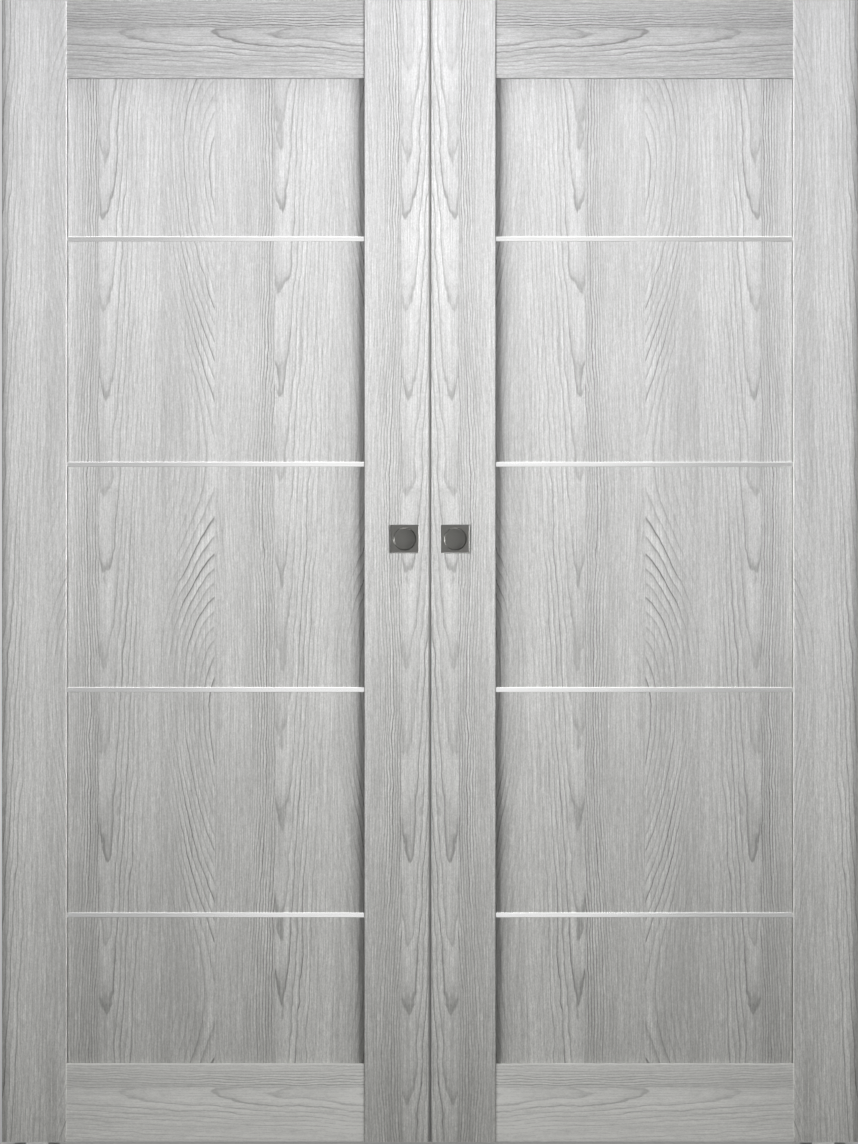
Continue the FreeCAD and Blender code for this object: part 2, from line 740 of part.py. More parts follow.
def make_hanger_plate(label):
    """A plate bent up into a saddle, slotted from the front for the bolt."""
    body = new_body(label)
    flange = "(plate_length - saddle_length) / 2"
    saddle_end = f"{flange} + saddle_length"
    inner_top = "saddle_height - plate_thickness"
    section = sketch_on(body, "XZ_Plane")
    add_outline(section, [
        ("0", "0"), (f"{flange} + plate_thickness", "0"), (f"{flange} + plate_thickness", inner_top),
        (f"{saddle_end} - plate_thickness", inner_top), (f"{saddle_end} - plate_thickness", "0"),
        ("plate_length", "0"), ("plate_length", "plate_thickness"), (saddle_end, "plate_thickness"),
        (saddle_end, "saddle_height"), (flange, "saddle_height"), (flange, "plate_thickness"),
        ("0", "plate_thickness")])
    pad(body, section, "plate_width", backwards=True)
    bolt_way = "(bolt_diameter + 2 * bolt_slot_clearance)"
    slot_end = sketch_on(body, "XY_Plane", "saddle_height")
    add_circle(slot_end, "plate_length / 2", "plate_width / 2", bolt_way)
    pocket(body, slot_end, "plate_thickness")
    slot = sketch_on(body, "XY_Plane", "saddle_height")
    add_rectangle(slot, f"plate_length / 2 - {bolt_way} / 2", "0",
                  f"plate_length / 2 + {bolt_way} / 2", "plate_width / 2")
    pocket(body, slot, "plate_thickness")
    holes = sketch_on(body, "XY_Plane", "plate_thickness")
    for x, y in plate_hole_places("plate_length / 2", "plate_width / 2"):
        add_circle(holes, x, y, WOOD_SCREW_HOLE)
    pocket(body, holes, "plate_thickness")
    return body


def make_wood_screw(name):
    """A round-head screw whose head sits on z = 0 and whose point hangs below."""
    shank_length = "wood_screw_length - wood_screw_tip"
    shank = cylinder(f"{name}_shank", "wood_screw_diameter", shank_length)
    place(shank, z=f"-({shank_length})")
    tip = cone(f"{name}_tip", "wood_screw_point", "wood_screw_diameter", "wood_screw_tip")
    place(tip, z="-wood_screw_length")
    head = cone(f"{name}_head", "wood_screw_head", "wood_screw_head_top", "wood_screw_head_height")
    socket = hexagon(f"{name}_socket", "wood_screw_socket", "wood_screw_socket_depth")
    place(socket, z="wood_screw_head_height - wood_screw_socket_depth")
    return cut(name, fuse(f"{name}_blank", [shank, tip, head]), socket)


def make_hanger_bolt(name):
    """A hexagon bolt whose head hangs below z = 0 and whose shank runs up into the trolley."""
    trolley_floor = f"({AXLE_HEIGHT} - trolley_height / 2)"
    seat = f"({LEAF_TOP} + saddle_height - plate_thickness)"
    shank = cylinder(f"{name}_shank", "bolt_diameter", f"{trolley_floor} + bolt_reach - {seat}")
    head = hexagon(f"{name}_head", "bolt_hex", "bolt_head_height")
    place(head, z="-bolt_head_height")
    return fuse(name, [shank, head])


def make_lock_nut(name):
    blank = hexagon(f"{name}_blank", "bolt_hex", "nut_height")
    bore = cylinder(f"{name}_bore", "bolt_diameter + 2 * thread_clearance", "nut_height")
    return cut(name, blank, bore)


def make_trolley(label):
    """A block with two axle holes across it and a threaded hole up its middle."""
    body = new_body(label)
    block = sketch_on(body, "XZ_Plane")
    add_rectangle(block, "0", "0", "trolley_length", "trolley_height")
    pad(body, block, "trolley_width", backwards=True)
    length = amount("trolley_length")
    height = amount("trolley_height")
    corners = [(x, z) for x in (0, length) for z in (0, height)]
    round_edges(body, "trolley_corner",
                lambda edge: any(is_straight_at(edge, x=x, z=z) for x, z in corners))
    axle_holes = sketch_on(body, "XZ_Plane")
    for step in AXLES.values():
        add_circle(axle_holes, f"trolley_length / 2 + {step}", "trolley_height / 2",
                   "axle_diameter + 2 * axle_clearance")
    pocket(body, axle_holes, "trolley_width")
    bolt_hole = sketch_on(body, "XY_Plane")
    add_circle(bolt_hole, "trolley_length / 2", "trolley_width / 2", "bolt_diameter + 2 * thread_clearance")
    pocket(body, bolt_hole, "bolt_reach + blind_hole_gap", backwards=True)
    return body


def make_axle(name):
    """An axle along +Z with a flat head at both ends, its middle at z = 0."""
    length = f"{AXLE_GRIP} + 2 * axle_head_thickness"
    pin = place(cylinder(f"{name}_pin", "axle_diameter", length), z=f"-({length}) / 2")
    heads = [cylinder(f"{name}_head", "axle_head_diameter", "axle_head_thickness") for _ in range(2)]
    place(heads[0], z=f"-({length}) / 2")
    place(heads[1], z=f"{AXLE_GRIP} / 2")
    return fuse(name, [pin] + heads)


def make_wheel(name):
    """A dished wheel about the Y axis, from y = 0 to its width."""
    body = new_body(name)
    bore = "axle_diameter / 2 + axle_clearance"
    hub = "wheel_hub_diameter / 2"
    rim = "wheel_diameter / 2 - wheel_rim_width"
    tread = "wheel_diameter / 2"
    far_dish = "wheel_width - wheel_dish"
    half_section = sketch_on(body, "XY_Plane")
    add_outline(half_section, [
        (bore, "0"), (hub, "0"), (hub, "wheel_dish"), (rim, "wheel_dish"), (rim, "0"), (tread, "0"),
        (tread, "wheel_width"), (rim, "wheel_width"), (rim, far_dish), (hub, far_dish),
        (hub, "wheel_width"), (bore, "wheel_width")])
    turned = body.newObject("PartDesign::Revolution", f"{name}_turned")
    turned.Profile = half_section
    turned.ReferenceAxis = (origin_feature(body, "Y_Axis"), [""])
    turned.Angle = 360
    doc.recompute()
    radius = amount(tread)
    round_edges(body, "wheel_edge", lambda edge: is_circle_at(edge, radius))
    return body


def add_hangers(side, sign):
    plates, screws, bolts, nuts, axles = [], [], [], [], []
    for which, distance in HANGERS.items():
        x = signed(sign, distance)
        plates.append(place(make_hanger_plate(f"{side}_{which}_plate"),
                            f"{x} - plate_length / 2", "-plate_width / 2", LEAF_TOP))
        for screw_x, screw_y in plate_hole_places(x, "0"):
            screw = make_wood_screw(f"{side}_plate_screw")
            screws.append(place(screw, screw_x, screw_y, f"{LEAF_TOP} + plate_thickness"))
        bolts.append(place(make_hanger_bolt(f"{side}_{which}_bolt"),
                           x, "0", f"{LEAF_TOP} + saddle_height - plate_thickness"))
        nuts.append(place(make_lock_nut(f"{side}_{which}_nut"), x, "0", f"{LEAF_TOP} + saddle_height"))
        trolley = node(f"{side}_{which}_trolley", make_trolley(f"{side}_{which}_trolley"))
        place(trolley, f"{x} - trolley_length / 2", "-trolley_width / 2",
              f"{AXLE_HEIGHT} - trolley_height / 2")
        for letter, step in AXLES.items():
            axle_x = f"{x} + {step}"
            axles.append(place(make_axle(f"{side}_{which}_axle"), axle_x, "0", AXLE_HEIGHT, AGAINST_Y))
            add_wheel_pair(f"{side}_{which}_wheels_{letter}", axle_x)
    group(f"{side}_hanger_plates", plates)
    group(f"{side}_plate_screws", screws)
    group(f"{side}_hanger_bolts", bolts)
    group(f"{side}_lock_nuts", nuts)
    group(f"{side}_axles", axles)


def add_wheel_pair(label, x):
    """One wheel each side of the trolley, on the same axle."""
    inner_face = "trolley_width / 2 + wheel_play"
    front = place(make_wheel(f"{label}_front"), x, f"-({inner_face}) - wheel_width", AXLE_HEIGHT)
    back = place(make_wheel(f"{label}_back"), x, inner_face, AXLE_HEIGHT)
    group(label, [front, back])


# Track, stops and floor guides

def add_track():
    """A C-shaped channel with its slot below, and countersunk holes through its web from inside."""
    body = new_body("track")
    lip_end = f"({TRACK_WIDTH} - track_slot) / 2"
    far_lip_end = f"({TRACK_WIDTH} + track_slot) / 2"
    far_wall = f"{TRACK_WIDTH} - track_wall"
    ceiling = f"{TRACK_HEIGHT} - track_web"
    section = sketch_on(body, "YZ_Plane")
    add_outline(section, [
        ("0", "0"), (lip_end, "0"), (lip_end, "track_lip"), ("track_wall", "track_lip"),
        ("track_wall", ceiling), (far_wall, ceiling), (far_wall, "track_lip"),
        (far_lip_end, "track_lip"), (far_lip_end, "0"), (TRACK_WIDTH, "0"),
        (TRACK_WIDTH, TRACK_HEIGHT), ("0", TRACK_HEIGHT)])
    pad(body, section, TRACK_LENGTH)
    holes = sketch_on(body, "XY_Plane", ceiling, flipped=True)
    for number in range(int(amount("track_hole_count"))):
        add_circle(holes, f"({number} + 0.5) * {TRACK_HOLE_PITCH}", f"-{TRACK_WIDTH} / 2",
                   "track_hole_diameter")
    sunk_holes(body, holes, "track_hole_diameter", "track_hole_sink")
    place(body, f"-{TRACK_LENGTH} / 2", f"-{TRACK_WIDTH} / 2", TRACK_BOTTOM)
    node("track", body)


def make_stop_block(label, length, stem_ends, grub_places):
    """A block that fills the channel, bored for its bumpers' stems and its grub screws."""
    body = new_body(label)
    block = sketch_on(body, "XY_Plane")
    add_rectangle(block, "0", "0", length, STOP_WIDTH)
    pad(body, block, STOP_HEIGHT)
    middle = f"{STOP_WIDTH} / 2"
    for end, backwards in stem_ends:
        stem_hole = sketch_on(body, "YZ_Plane", end)
        add_circle(stem_hole, middle, "wheel_clearance + wheel_diameter / 2",
                   "bumper_stem_diameter + 2 * bumper_stem_clearance")
        pocket(body, stem_hole, "bumper_stem_length + bumper_stem_clearance", backwards)
    grub_holes = sketch_on(body, "XY_Plane")
    for x in grub_places:
        add_circle(grub_holes, x, middle, "grub_diameter + 2 * thread_clearance")
    pocket(body, grub_holes, STOP_HEIGHT, backwards=True)
    return body


def make_bumper(name):
    """A rubber buffer along +Z: a stem below z = 0, then its body and a tapered nose."""
    stem = place(cylinder(f"{name}_stem", "bumper_stem_diameter", "bumper_stem_length"),
                 z="-bumper_stem_length")
    shaft = cylinder(f"{name}_shaft", "bumper_diameter", "bumper_length - bumper_nose")
    nose = cone(f"{name}_nose", "bumper_diameter", "bumper_diameter - bumper_nose", "bumper_nose")
    place(nose, z="bumper_length - bumper_nose")
    return fuse(name, [stem, shaft, nose])


def make_grub_screw(name):
    """A grub screw along +Z with a hexagon socket in its lower end."""
    blank = cylinder(f"{name}_blank", "grub_diameter", "grub_length")
    socket = hexagon(f"{name}_socket", "grub_socket", "grub_socket_depth")
    return cut(name, blank, socket)


def add_stops():
    y = f"-{STOP_WIDTH} / 2"
    grub_xs = []
    end_bumpers = []
    for side, sign in SIDES.items():
        face = "stop_block_length" if sign < 0 else "0"
        start = f"-{END_BLOCK_START} - stop_block_length" if sign < 0 else END_BLOCK_START
        grub_in_block = "grub_inset" if sign < 0 else "stop_block_length - grub_inset"
        block = make_stop_block(f"end_stop_{side}", "stop_block_length", [(face, sign > 0)], [grub_in_block])
        node(f"end_stop_{side}", place(block, start, y, RUNWAY))
        grub_xs.append(f"{start} + {grub_in_block}")
        bumper = make_bumper(f"end_bumper_{side}")
        end_bumpers.append(place(bumper, signed(sign, END_BLOCK_START), "0", AXLE_HEIGHT,
                                 ALONG_X if sign < 0 else AGAINST_X))
    group("end_bumpers", end_bumpers)

    half = f"{CENTRE_BLOCK_LENGTH} / 2"
    centre_grubs = [f"{half} - grub_inset", f"{half} + grub_inset"]
    centre = make_stop_block("centre_stop", CENTRE_BLOCK_LENGTH,
                             [("0", True), (CENTRE_BLOCK_LENGTH, False)], centre_grubs)
    node("centre_stop", place(centre, f"-{half}", y, RUNWAY))
    grub_xs += [f"-{half} + {x}" for x in centre_grubs]
    group("centre_bumpers", [
        place(make_bumper(f"centre_bumper_{side}"), signed(sign, half), "0", AXLE_HEIGHT,
              AGAINST_X if sign < 0 else ALONG_X)
        for side, sign in SIDES.items()])
    group("stop_grub_screws", [
        place(make_grub_screw("stop_grub_screw"), x, "0", f"{RUNWAY} + {CHANNEL_HEIGHT} - grub_length")
        for x in grub_xs])


def make_floor_guide(label):
    """A base with two countersunk holes and an upright fin, centred on x = 0 and y = 0."""
    body = new_body(label)
    half_length = "guide_base_length / 2"
    half_width = "guide_base_width / 2"
    base = sketch_on(body, "XY_Plane")
    add_rectangle(base, f"-{half_length}", f"-{half_width}", half_length, half_width)
    pad(body, base, "guide_base_thickness")
    reach_x = amount(half_length)
    reach_y = amount(half_width)
    corners = [(x, y) for x in (-reach_x, reach_x) for y in (-reach_y, reach_y)]
    round_edges(body, "guide_corner",
                lambda edge: any(is_straight_at(edge, x=x, y=y) for x, y in corners))
    fin = sketch_on(body, "XY_Plane")
    add_rectangle(fin, "-guide_fin_length / 2", "-guide_fin_thickness / 2",
                  "guide_fin_length / 2", "guide_fin_thickness / 2")
    pad(body, fin, "floor_gap + guide_engagement")
    fin_top = amount("floor_gap + guide_engagement")
    round_edges(body, "guide_fin_edge", lambda edge: is_straight_at(edge, z=fin_top))
    holes = sketch_on(body, "XY_Plane", "guide_base_thickness")
    for x in ("-guide_hole_spacing / 2", "guide_hole_spacing / 2"):
        add_circle(holes, x, "0", "guide_hole_diameter")
    sunk_holes(body, holes, "guide_hole_diameter", "guide_hole_sink")
    return body


def add_floor_guides():
    for side, sign in SIDES.items():
        guide = node(f"floor_guide_{side}", make_floor_guide(f"floor_guide_{side}"))
        place(guide, signed(sign, GUIDE_PLACE))


def check_document():
    """Stop if any object failed or any sub-part has no sound shape."""
    for item in doc.Objects:
        if "Invalid" in item.State or "Error" in item.State:
            raise RuntimeError(f"{item.Name} failed: {item.State}")
    for label, item in nodes.items():
        if item.Shape.isNull() or not item.Shape.isValid():
            raise RuntimeError(f"{label} has no valid shape")


def write_parts():
    os.makedirs("parts", exist_ok=True)
    for label, item in nodes.items():
        item.Shape.exportStep(f"parts/{label}.step")
        print(f"{label}: {len(item.Shape.Solids)} solids, {item.Shape.Volume:.1f} mm3")


add_track()
add_stops()
add_floor_guides()
for leaf_side, leaf_sign in SIDES.items():
    add_leaf_frame(leaf_side, leaf_sign)
    add_strips(leaf_side, leaf_sign)
    add_dowels(leaf_side, leaf_sign)
    add_pulls(leaf_side, leaf_sign)
    add_hangers(leaf_side, leaf_sign)
add_meeting_seals()
doc.recompute()
check_document()
write_parts()
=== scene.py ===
"""Looks of a double sliding door: printed ash film, metal strips, satin pulls, track and studio light."""
import json
import math
from collections import namedtuple

import bpy
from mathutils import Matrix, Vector


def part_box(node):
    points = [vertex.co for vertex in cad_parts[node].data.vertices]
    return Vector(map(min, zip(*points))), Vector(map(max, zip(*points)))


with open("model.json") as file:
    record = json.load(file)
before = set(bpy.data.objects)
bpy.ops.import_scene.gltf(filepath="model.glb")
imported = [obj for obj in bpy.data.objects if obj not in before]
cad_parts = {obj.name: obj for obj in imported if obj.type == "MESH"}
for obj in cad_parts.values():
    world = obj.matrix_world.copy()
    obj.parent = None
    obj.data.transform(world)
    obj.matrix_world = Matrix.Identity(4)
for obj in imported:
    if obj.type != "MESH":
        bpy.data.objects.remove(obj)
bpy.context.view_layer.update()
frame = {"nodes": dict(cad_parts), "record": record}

NODES = frame["nodes"]
SLOTS = {part["node"]: part["material_slot"] for part in frame["record"]["subparts"]}

# Places on the doors, in metres, from the frame
LEAF_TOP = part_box("left_stile_outer")[1].z
LEAF_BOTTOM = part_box("left_stile_outer")[0].z
LEAF_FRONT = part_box("left_stile_outer")[0].y
OUTER_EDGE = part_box("right_stile_outer")[1].x
OPENING_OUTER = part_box("right_stile_outer")[0].x
OPENING_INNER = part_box("right_stile_meeting")[1].x
MEETING_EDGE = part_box("right_stile_meeting")[0].x
TOP_RAIL_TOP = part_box("left_rail_top")[1].z
TOP_RAIL_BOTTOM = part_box("left_rail_top")[0].z
BOTTOM_RAIL_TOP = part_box("left_rail_bottom")[1].z
PULL_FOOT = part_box("left_pull_front")[0].z

# The photograph's frame, in its pixels, and the camera
PHOTO_HEIGHT = 1144
LEAF_BOTTOM_ROW = 1142
PHOTO_MIDDLE_OFFSET = -1.0
CAMERA_DISTANCE = 6.0
CAMERA_REACH = 200.0
SENSOR = 36.0


# Shader arithmetic

class Field:
    """A number that varies over a surface: a shader socket that takes arithmetic."""

    def __init__(self, tree, socket):
        self.tree = tree
        self.socket = socket

    def apply(self, operation, *others):
        node = self.tree.nodes.new("ShaderNodeMath")
        node.operation = operation
        for socket, item in zip(node.inputs, (self, *others)):
            feed(socket, item)
        return Field(self.tree, node.outputs[0])

    def __add__(self, other):
        return self.apply("ADD", other)

    def __sub__(self, other):
        return self.apply("SUBTRACT", other)

    def __mul__(self, other):
        return self.apply("MULTIPLY", other)

    def __truediv__(self, other):
        return self.apply("DIVIDE", other)


def feed(socket, item):
    """Link a field into a socket, or set the socket to a plain number."""
    if isinstance(item, Field):
        item.tree.links.new(item.socket, socket)
    else:
        socket.default_value = item


def place_on_door(tree):
    """A surface point's x, y and z in the door's own frame, which move with the leaf."""
    coordinates = tree.nodes.new("ShaderNodeTexCoord")
    parts = tree.nodes.new("ShaderNodeSeparateXYZ")
    tree.links.new(coordinates.outputs["Object"], parts.inputs[0])
    return [Field(tree, socket) for socket in parts.outputs]


def vector(tree, x, y, z):
    """A vector socket from three fields or plain numbers."""
    joined = tree.nodes.new("ShaderNodeCombineXYZ")
    for socket, item in zip(joined.inputs, (x, y, z)):
        feed(socket, item)
    return joined.outputs[0]


def noise(tree, x, y, z=0.0, detail=2.0, roughness=0.5):
    """Smooth noise about 0, between -0.5 and 0.5."""
    node = tree.nodes.new("ShaderNodeTexNoise")
    tree.links.new(vector(tree, x, y, z), node.inputs["Vector"])
    node.inputs["Scale"].default_value = 1.0
    node.inputs["Detail"].default_value = detail
    node.inputs["Roughness"].default_value = roughness
    return Field(tree, node.outputs["Fac"]) - 0.5


def chance(tree, number):
    """A random value from 0 to 1 for each whole number."""
    node = tree.nodes.new("ShaderNodeTexWhiteNoise")
    node.noise_dimensions = "1D"
    feed(node.inputs["W"], number)
    return Field(tree, node.outputs["Value"])


def ramp(field, stops):
    """A field sent through (position, value) stops, with straight runs between them."""
    node = field.tree.nodes.new("ShaderNodeValToRGB")
    feed(node.inputs["Fac"], field)
    elements = node.color_ramp.elements
    while len(elements) < len(stops):
        elements.new(0.5)
    for element, (position, value) in zip(elements, stops):
        element.position = position
        element.color = (value, value, value, 1.0)
    return Field(field.tree, node.outputs["Color"])


def choose(mask, first, second):
    """The first field where the mask is 0, the second where it is 1."""
    return first + (second - first) * mask


def tint(shade, dark, light):
    """A colour from dark, where the shade is 0, to light, where it is 1."""
    node = shade.tree.nodes.new("ShaderNodeValToRGB")
    feed(node.inputs["Fac"], shade)
    node.color_ramp.elements[0].color = (*dark, 1.0)
    node.color_ramp.elements[1].color = (*light, 1.0)
    return node.outputs["Color"]


def blend(mask, first, second):
    """A colour that is the first where the mask is 0 and the second where it is 1."""
    node = mask.tree.nodes.new("ShaderNodeMix")
    node.data_type = "RGBA"
    factor, first_socket, second_socket = node.inputs[0], node.inputs[6], node.inputs[7]
    feed(factor, mask)
    mask.tree.links.new(first, first_socket)
    mask.tree.links.new(second, second_socket)
    return node.outputs[2]


def new_surface(name, **settings):
    """A material, its node tree and its main shader with the given sockets set."""
    material = bpy.data.materials.new(name)
    material.use_nodes = True
    tree = material.node_tree
    shader = tree.nodes["Principled BSDF"]
    for socket, value in settings.items():
        shader.inputs[socket.replace("_", " ")].default_value = value
    return material, tree, shader


def add_bump(tree, shader, height, distance):
    """Relief from a height field: distance is how far in metres a height of 1 stands."""
    node = tree.nodes.new("ShaderNodeBump")
    node.inputs["Strength"].default_value = 1.0
    node.inputs["Distance"].default_value = distance
    feed(node.inputs["Height"], height)
    tree.links.new(node.outputs["Normal"], shader.inputs["Normal"])


# Ash film: printed boards side by side, in metres across and along the grain

# A board's rings lie round a pith at that place across it, which sways by lean. The pith is base deep at
# the arch's crest, and deeper by swing furthest from it. Tilt slants the rings along the board, and wobble
# makes them waver. Contrast and tone are stops across the board, from 0 to 1.
Board = namedtuple("Board", "width pith lean ring base swing tilt wobble contrast tone")
FLAME_BOARD = Board(
    width=0.1095, pith=0.010, lean=0.0, ring=0.0070, base=0.030, swing=0.0, tilt=0.045, wobble=0.010,
    contrast=((0.0, 0.75), (0.18, 0.8), (0.3, 1.0), (0.5, 0.9), (0.7, 0.45), (1.0, 0.4)),
    tone=((0.0, 0.98), (0.2, 1.03), (0.45, 1.035), (0.8, 1.065), (1.0, 1.0)))
ARCH_BOARD = Board(
    width=0.0955, pith=0.1345, lean=0.022, ring=0.0070, base=0.045, swing=0.090, tilt=0.0, wobble=0.003,
    contrast=((0.0, 0.3), (0.3, 0.45), (0.5, 1.1), (1.0, 1.1)),
    tone=((0.0, 0.95), (0.3, 0.97), (0.65, 0.955), (0.85, 1.0), (1.0, 1.04)))
QUIET_BOARD = Board(
    width=0.1080, pith=-0.030, lean=0.0, ring=0.0047, base=0.010, swing=0.045, tilt=0.010, wobble=0.006,
    contrast=((0.0, 0.3), (0.5, 0.4), (0.7, 0.9), (0.82, 1.5), (1.0, 1.6)),
    tone=((0.0, 0.99), (0.2, 1.04), (0.35, 1.03), (0.55, 0.975), (0.75, 0.925), (1.0, 0.88)))
BOARDS = (FLAME_BOARD, ARCH_BOARD, QUIET_BOARD)
FILM_WIDTH = sum(board.width for board in BOARDS)
FILM_LENGTH = 0.968
FILM_STAGGER = 0.021
ARCH_CREST = 0.356

# A ring's shade from its inner side to its outer side: the rest shade leaves the tone as it is
RING_SHADE = ((0.0, 0.90), (0.08, 1.0), (0.50, 0.92), (0.76, 0.66),
              (0.87, 0.05), (0.94, 0.0), (1.0, 0.90))
RING_REST = 0.78

# How boldly a ring is printed, from least upwards by its own luck
RING_DEPTH = 0.47
RING_LEAST = 0.35
RING_LUCK = 1.1
RING_RELIEF = 0.6
LUCK_STEP = 100.0  # gives each board's rings luck of their own
LINE_DEEPENING = 0.35

# Tones go through a ramp divided by this, so that its stops stay under 1
TONE_SCALE = 2.0

# Noise over the film: waves to the metre across and along, a slice of the noise, and how deep it goes
Grain = namedtuple("Grain", "across along slice depth detail roughness relief",
                   defaults=(1.0, 2.0, 0.5, 0.0))
DRIFT = Grain(across=14.0, along=3.5, slice=0.0, depth=0.014)
RIPPLE = Grain(across=40.0, along=24.0, slice=0.0, depth=0.0060, detail=3.0)
SWIRL = Grain(across=30.0, along=11.0, slice=2.6, detail=3.0)
FADE = Grain(across=26.0, along=4.5, slice=3.7, depth=1.5)
FADE_MEAN = 0.85
FIBRE = Grain(across=600.0, along=9.0, slice=1.3, depth=0.78, detail=3.0, roughness=0.6, relief=0.5)
PORES = Grain(across=520.0, along=60.0, slice=5.1, depth=0.44, relief=0.5)
SPECKS = Grain(across=700.0, along=330.0, slice=6.4, depth=0.42, detail=1.0)
CLOUD = Grain(across=24.0, along=3.5, slice=8.2, depth=0.24, detail=3.0)
FINE_GRAINS = (FIBRE, PORES, SPECKS, CLOUD)


def film_noise(tree, grain, across, along):
    """One kind of noise over the film, about 0."""
    return noise(tree, across * grain.across, along * grain.along, grain.slice,
                 grain.detail, grain.roughness)


def board_rings(tree, board, across, along, swirl, number):
    """Growth rings of one flat-sawn board: how far round a ring each point is, and the ring's luck."""
    turn = (along - ARCH_CREST) * (2 * math.pi / FILM_LENGTH)
    depth = turn.apply("COSINE") * (-board.swing / 2) + (board.base + board.swing / 2)
    offset = across - turn.apply("SINE") * board.lean - board.pith
    radius = (offset * offset + depth * depth).apply("SQRT")
    rings = (radius + along * board.tilt + swirl * board.wobble) / board.ring
    return rings.apply("FRACT"), chance(tree, rings.apply("FLOOR") + LUCK_STEP * number)


def printed_boards(tree, across, along, strength):
    """Shade and relief of the boards' lines and tones."""
    widths = across / FILM_WIDTH
    place = widths.apply("FRACT") * FILM_WIDTH
    shifted = along + widths.apply("FLOOR") * FILM_STAGGER
    drift = film_noise(tree, DRIFT, across, along) * DRIFT.depth
    ripple = film_noise(tree, RIPPLE, across, along) * RIPPLE.depth
    swirl = film_noise(tree, SWIRL, across, along)
    bent = place + drift + ripple
    fade = film_noise(tree, FADE, across, along) * FADE.depth + FADE_MEAN

    shade = None
    relief = None
    start = 0.0
    for number, board in enumerate(BOARDS):
        turn, luck = board_rings(tree, board, bent - start, shifted, swirl, number)
        share = (place - start) / board.width
        line = (ramp(turn, RING_SHADE) - RING_REST) * ramp(share, board.contrast)
        line = line * (luck * RING_LUCK + RING_LEAST) * fade
        tone = ramp(share, [(at, value / TONE_SCALE) for at, value in board.tone]) * TONE_SCALE
        board_shade = tone + line * strength * RING_DEPTH
        if shade is None:
            shade, relief = board_shade, line
        else:
            mask = place.apply("GREATER_THAN", start)
            shade = choose(mask, shade, board_shade)
            relief = choose(mask, relief, line)
        start += board.width
    return shade, relief * RING_RELIEF


def ash_film(tree, across, along, strength):
    """Shade, about 1, and relief of the film at a place, with lines and grain of that strength."""
    shade, relief = printed_boards(tree, across, along, strength)
    for grain in FINE_GRAINS:
        layer = film_noise(tree, grain, across, along)
        shade = shade * (layer * strength * grain.depth + 1.0)
        if grain.relief:
            relief = relief + layer * grain.relief
    return shade, relief


ASH_DARK = (0.014, 0.012, 0.006)
ASH_LIGHT = (0.953, 0.953, 0.968)
# The film's pale end near the floor, made warmer as painted warm light
ASH_LIGHT_PAINTED_WARM = (0.956, 0.954, 0.920)
ASH_MIDDLE = 0.6
ASH_ROUGHNESS = 0.52
ASH_SPECULAR = 0.35
ASH_RELIEF = 0.0001


def lowness(z):
    """0 at the leaf's top and 1 at its bottom."""
    return (z * -1.0 + LEAF_TOP) / (LEAF_TOP - LEAF_BOTTOM)


def ash_surface(name, film, painted_light_of, strength):
    """Matt laminate with the film laid by two functions of x, y and z, and painted light and shade from
    one of x and z.
    """
    material, tree, shader = new_surface(name, Roughness=ASH_ROUGHNESS, Specular_IOR_Level=ASH_SPECULAR)
    across_of, along_of = film
    x, y, z = place_on_door(tree)
    mirrored = x.apply("ABSOLUTE")
    across = across_of(mirrored, y, z)
    along = along_of(mirrored, y, z)
    low = lowness(z)
    shade, relief = ash_film(tree, across, along, low * LINE_DEEPENING + strength)
    # The film's own shade times painted light and shade
    film_with_painted_light = shade * painted_light_of(mirrored, z) * ASH_MIDDLE
    # Painted warm light: the film blends towards a warmer pale colour near the floor
    colour = blend(low, tint(film_with_painted_light, ASH_DARK, ASH_LIGHT), tint(film_with_painted_light, ASH_DARK, ASH_LIGHT_PAINTED_WARM))
    tree.links.new(colour, shader.inputs["Base Color"])
    add_bump(tree, shader, relief, ASH_RELIEF)
    return material


# How far from each piece's edge the flame board starts
PANEL_FILM_START = 0.067
MEETING_FILM_START = 0.067
OUTER_FILM_START = -0.031
TOP_RAIL_FILM_START = 0.052
BOTTOM_RAIL_FILM_START = 0.045

# Strengths of the film's lines and grain
PLAIN_STRENGTH = 1.0
TOP_RAIL_STRENGTH = 1.2
BOTTOM_RAIL_STRENGTH = 0.45

# Painted light and shade on the film, where a plain film is 1, and how far each reaches
# Painted shade on the top rail and painted light on the bottom rail, both falling off towards the outer
# stile
TOP_RAIL_PAINTED_SHADE = 0.79
BOTTOM_RAIL_PAINTED_LIGHT = 1.50
RAIL_PAINTED_FALLOFF = 0.14
# Painted highlights along the bottom rail's arrises
RAIL_ARRIS = 0.0016
RAIL_ARRIS_PAINTED_HIGHLIGHT = 1.4
# Painted shade in the shadow line beside the outer stile
SHADOW_LINE_WIDTH = 0.0025
SHADOW_LINE_PAINTED_SHADE = 0.67
# Painted shadow under the top rail
RAIL_PAINTED_SHADOW_HEIGHT = 0.060
RAIL_PAINTED_SHADOW_TONES = ((0.0, 0.87), (0.5, 0.955), (1.0, 1.0))
# Painted shadow on the panel beside the meeting stile, deepened towards the floor
SIDE_PAINTED_SHADOW_WIDTH = 0.036
SIDE_PAINTED_SHADOW_TONES = ((0.0, 0.80), (0.4, 0.87), (0.6, 0.90), (1.0, 1.0))
SIDE_PAINTED_BAND_WIDTH = 0.009
SIDE_PAINTED_BAND_DEEPENING = 0.25
# Painted light near the floor: brighter by the meeting stile, darker by the outer stile
PANEL_PAINTED_LIGHT_RISE = 0.12
PANEL_PAINTED_LIGHT_FALL = 0.24
# Painted shade at each leaf's outer edge
PAINTED_EDGE_SHADE_WIDTH = 0.018
PAINTED_EDGE_SHADE_TONES = ((0.0, 0.55), (0.15, 0.57), (0.35, 0.68), (0.55, 0.84), (0.75, 0.92), (1.0, 1.0))
# Painted shade over the whole outer stile, and painted light rising towards the floor
OUTER_STILE_PAINTED_SHADE = 0.97
OUTER_PAINTED_LIGHT_RISE = 0.13
